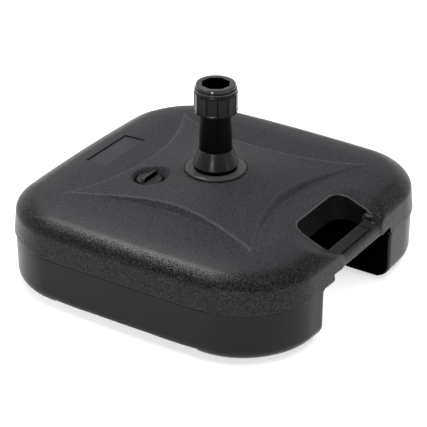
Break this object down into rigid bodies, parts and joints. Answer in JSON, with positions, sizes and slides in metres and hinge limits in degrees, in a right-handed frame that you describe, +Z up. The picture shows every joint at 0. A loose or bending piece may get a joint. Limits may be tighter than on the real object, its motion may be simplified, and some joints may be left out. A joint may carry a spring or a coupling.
{
  "type": "parasol base",
  "caption": "Low square fillable parasol base with rounded corners, a star-shaped dome, a carrying bar over a finger gap, a screw filler plug, a clamping stem for the pole and transport wheels.",
  "frame": {"origin": "on the stem's axis, on the surface that the four feet stand on", "axes": "+Z up along the stem, +X towards the carrying bar, +Y across it"},
  "size_m": [0.5031, 0.5014, 0.2965],
  "materials": {
    "tank_plastic": "fine moulded grain on the upper half, smooth satin on the lower half",
    "fitting_plastic": "smooth satin",
    "stem_plastic": "gloss",
    "wheel_plastic": "semi-gloss",
    "seal_rubber": "matt",
    "axle_steel": "bright zinc plate"
  },
  "bodies": {
    "base": {"tank": "tank_plastic", "stem_flange": "fitting_plastic", "stem_collar": "fitting_plastic", "stem_tube": "stem_plastic", "pole_collet": "stem_plastic", "lock_nut": "fitting_plastic", "lock_washer": "seal_rubber", "pole_stop": "fitting_plastic", "wheel_axle": "axle_steel"},
    "nut_washer": {"slip_washer": "fitting_plastic"},
    "nut": {"clamp_nut": "fitting_plastic"},
    "cap_seal": {"filler_seal": "seal_rubber"},
    "cap": {"filler_cap": "fitting_plastic"},
    "left_wheel": {"wheel_left": "wheel_plastic"},
    "right_wheel": {"wheel_right": "wheel_plastic"}
  },
  "joints": [
    {"name": "nut_lift", "type": "slide", "parent": "base", "child": "nut_washer", "axis": [0, 0, 1], "range_m": [0, 0.009]},
    {"name": "nut_turn", "type": "hinge", "parent": "nut_washer", "child": "nut", "pos_m": [0, 0, 0.275], "axis": [0, 0, 1], "range_deg": [0, 1080]},
    {"name": "cap_lift", "type": "slide", "parent": "base", "child": "cap_seal", "axis": [0, 0, 1], "range_m": [0, 0.01]},
    {"name": "cap_turn", "type": "hinge", "parent": "cap_seal", "child": "cap", "pos_m": [-0.079, -0.058, 0.143], "axis": [0, 0, 1], "range_deg": [0, 900]},
    {"name": "left_wheel_spin", "type": "hinge", "parent": "base", "child": "left_wheel", "pos_m": [-0.2225, -0.104, 0.0305], "axis": [0, 1, 0], "continuous": true},
    {"name": "right_wheel_spin", "type": "hinge", "parent": "base", "child": "right_wheel", "pos_m": [-0.2225, 0.104, 0.0305], "axis": [0, 1, 0], "continuous": true}
  ],
  "couplings": [
    {"joint": "nut_lift", "follows": "nut_turn", "m_per_rad": 0.000477},
    {"joint": "cap_lift", "follows": "cap_turn", "m_per_rad": 0.000636}
  ]
}
